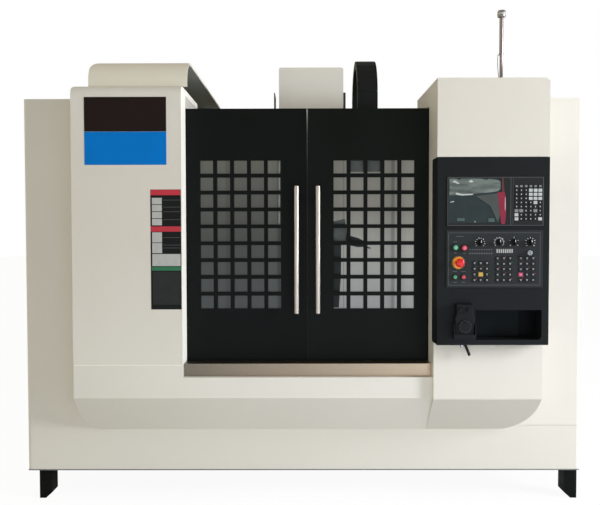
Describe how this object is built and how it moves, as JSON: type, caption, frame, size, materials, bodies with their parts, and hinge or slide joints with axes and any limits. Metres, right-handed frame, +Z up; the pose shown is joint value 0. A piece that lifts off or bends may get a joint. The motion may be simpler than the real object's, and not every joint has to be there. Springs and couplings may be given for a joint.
{
  "type": "cnc machining center",
  "caption": "Enclosed vertical machining centre with sliding doors, a column-mounted spindle head, a cross-slide table, an arm-type tool changer and a side control box.",
  "frame": {"origin": "on the floor, under the middle of the bounding box", "axes": "+Z up, +X to the operator's right, the operator stands on the -Y side"},
  "size_m": [2.678, 2.1998, 2.288],
  "materials": {
    "cream_paint": "satin",
    "black_paint": "satin",
    "box_paint": "textured satin",
    "stainless": "brushed",
    "clear_sheet": "clear",
    "bright_steel": "polished",
    "ground_steel": "ground",
    "zinc_steel": "zinc plated",
    "casting_paint": "painted",
    "machined_iron": "machined",
    "motor_black": "satin",
    "panel_grey": "satin",
    "bezel_plastic": "matte",
    "screen": "gloss",
    "key_plastic": "matte",
    "red_plastic": "gloss",
    "green_plastic": "gloss",
    "knob_plastic": "matte",
    "lock_metal": "polished",
    "unit_plastic": "matte",
    "lamp_metal": "satin",
    "bellows_fabric": "matte",
    "chain_plastic": "matte",
    "disc_alloy": "machined",
    "pot_plastic": "matte",
    "tank_paint": "satin"
  },
  "bodies": {
    "machine_frame": {"base_casting": "casting_paint", "column_casting": "casting_paint", "levelling_feet": "zinc_steel", "corner_legs": "black_paint", "guide_rails": "ground_steel", "axis_motors": "motor_black", "left_side_cover": "cream_paint", "right_side_cover": "cream_paint", "front_skirt": "cream_paint", "front_apron": "cream_paint", "left_pillar_cover": "cream_paint", "right_pillar_cover": "cream_paint", "door_tracks": "stainless", "magazine_hood": "cream_paint", "rear_cover": "cream_paint", "chip_pan": "stainless", "changer_gearbox": "casting_paint", "coolant_tank": "tank_paint", "electrical_cabinet": "cream_paint", "control_box": "box_paint", "display_unit": "bezel_plastic", "display_screen": "screen", "panel_keys": "key_plastic", "operator_panel": "panel_grey", "hand_unit": "unit_plastic", "signal_lamp": "lamp_metal"},
    "left_door_leaf": {"left_door": "black_paint", "left_window": "clear_sheet", "left_handle": "bright_steel"},
    "right_door_leaf": {"right_door": "black_paint", "right_window": "clear_sheet", "right_handle": "bright_steel"},
    "cross_slide": {"saddle": "casting_paint", "y_bellows": "bellows_fabric"},
    "table": {"work_table": "machined_iron"},
    "head": {"spindle_head": "casting_paint", "spindle_motor": "motor_black", "head_cover": "cream_paint", "side_guards": "box_paint", "cable_chain": "chain_plastic"},
    "tool_spindle": {"spindle": "ground_steel"},
    "x_screw": {"x_ball_screw": "ground_steel"},
    "y_screw": {"y_ball_screw": "ground_steel"},
    "z_screw": {"z_ball_screw": "ground_steel"},
    "magazine": {"magazine_disc": "disc_alloy", "tool_pots": "pot_plastic"},
    "arm_lift_shaft": {"arm_shaft": "ground_steel"},
    "tool_arm": {"change_arm": "zinc_steel"},
    "stop_button": {"emergency_stop": "red_plastic"},
    "start_control": {"start_button": "green_plastic"},
    "hold_control": {"hold_button": "red_plastic"},
    "power_on_control": {"power_on_button": "green_plastic"},
    "power_off_control": {"power_off_button": "red_plastic"},
    "mode_control": {"mode_knob": "knob_plastic"},
    "feed_control": {"feed_knob": "knob_plastic"},
    "rapid_control": {"rapid_knob": "knob_plastic"},
    "speed_control": {"speed_knob": "knob_plastic"},
    "key_control": {"key_switch": "lock_metal"},
    "dial_control": {"pulse_dial": "unit_plastic"},
    "rear_door": {"cabinet_door": "cream_paint"}
  },
  "joints": [
    {"name": "left_door_slide", "type": "slide", "parent": "machine_frame", "child": "left_door_leaf", "axis": [-1, 0, 0], "range_m": [0, 0.465]},
    {"name": "right_door_slide", "type": "slide", "parent": "machine_frame", "child": "right_door_leaf", "axis": [1, 0, 0], "range_m": [0, 0.465]},
    {"name": "y_axis", "type": "slide", "parent": "machine_frame", "child": "cross_slide", "axis": [0, 1, 0], "range_m": [-0.2, 0.2], "deforming": ["y_bellows"]},
    {"name": "x_axis", "type": "slide", "parent": "cross_slide", "child": "table", "axis": [1, 0, 0], "range_m": [-0.3, 0.3]},
    {"name": "z_axis", "type": "slide", "parent": "machine_frame", "child": "head", "axis": [0, 0, 1], "range_m": [-0.32, 0.13], "deforming": ["cable_chain"]},
    {"name": "spindle_spin", "type": "hinge", "parent": "head", "child": "tool_spindle", "pos_m": [0.036, -0.29, 1.475], "axis": [0, 0, 1], "continuous": true},
    {"name": "x_screw_spin", "type": "hinge", "parent": "cross_slide", "child": "x_screw", "pos_m": [0.036, -0.29, 0.685], "axis": [1, 0, 0], "range_deg": [-10900, 10900]},
    {"name": "y_screw_spin", "type": "hinge", "parent": "machine_frame", "child": "y_screw", "pos_m": [0.036, -0.5, 0.475], "axis": [0, 1, 0], "range_deg": [-7300, 7300]},
    {"name": "z_screw_spin", "type": "hinge", "parent": "machine_frame", "child": "z_screw", "pos_m": [0.036, 0.242, 1.375], "axis": [0, 0, 1], "range_deg": [-4800, 11600]},
    {"name": "magazine_spin", "type": "hinge", "parent": "machine_frame", "child": "magazine", "pos_m": [-0.6, -0.29, 1.615], "axis": [1, 0, 0], "continuous": true},
    {"name": "arm_lift", "type": "slide", "parent": "machine_frame", "child": "arm_lift_shaft", "axis": [0, 0, 1], "range_m": [-0.11, 0]},
    {"name": "arm_swing", "type": "hinge", "parent": "arm_lift_shaft", "child": "tool_arm", "pos_m": [-0.322, -0.29, 1.195], "axis": [0, 0, 1], "range_deg": [0, 270]},
    {"name": "stop_press", "type": "slide", "parent": "machine_frame", "child": "stop_button", "axis": [0, 1, 0], "range_m": [0, 0.004]},
    {"name": "start_press", "type": "slide", "parent": "machine_frame", "child": "start_control", "axis": [0, 1, 0], "range_m": [0, 0.003], "stiffness_N_per_m": 1200, "springref_m": -0.002},
    {"name": "hold_press", "type": "slide", "parent": "machine_frame", "child": "hold_control", "axis": [0, 1, 0], "range_m": [0, 0.003], "stiffness_N_per_m": 1200, "springref_m": -0.002},
    {"name": "power_on_press", "type": "slide", "parent": "machine_frame", "child": "power_on_control", "axis": [0, 1, 0], "range_m": [0, 0.0025], "stiffness_N_per_m": 1200, "springref_m": -0.002},
    {"name": "power_off_press", "type": "slide", "parent": "machine_frame", "child": "power_off_control", "axis": [0, 1, 0], "range_m": [0, 0.0025], "stiffness_N_per_m": 1200, "springref_m": -0.002},
    {"name": "mode_turn", "type": "hinge", "parent": "machine_frame", "child": "mode_control", "pos_m": [0.782, -1.054, 1.254], "axis": [0, 1, 0], "range_deg": [-135, 135]},
    {"name": "feed_turn", "type": "hinge", "parent": "machine_frame", "child": "feed_control", "pos_m": [0.866, -1.054, 1.256], "axis": [0, 1, 0], "range_deg": [-150, 150]},
    {"name": "rapid_turn", "type": "hinge", "parent": "machine_frame", "child": "rapid_control", "pos_m": [0.932, -1.054, 1.256], "axis": [0, 1, 0], "range_deg": [-45, 45]},
    {"name": "speed_turn", "type": "hinge", "parent": "machine_frame", "child": "speed_control", "pos_m": [1.004, -1.054, 1.255], "axis": [0, 1, 0], "range_deg": [-90, 90]},
    {"name": "key_turn", "type": "hinge", "parent": "machine_frame", "child": "key_control", "pos_m": [1.001, -1.054, 1.2095], "axis": [0, 1, 0], "range_deg": [0, 90]},
    {"name": "dial_turn", "type": "hinge", "parent": "machine_frame", "child": "dial_control", "pos_m": [0.71, -1.088, 0.887], "axis": [0, 1, 0], "continuous": true},
    {"name": "cabinet_door_swing", "type": "hinge", "parent": "machine_frame", "child": "rear_door", "pos_m": [-0.52, 1.094, 1.125], "axis": [0, 0, 1], "range_deg": [0, 110]}
  ],
  "couplings": [
    {"joint": "x_screw_spin", "follows": "x_axis", "rad_per_m": -628.32},
    {"joint": "y_screw_spin", "follows": "y_axis", "rad_per_m": -628.32},
    {"joint": "z_screw_spin", "follows": "z_axis", "rad_per_m": -628.32}
  ]
}
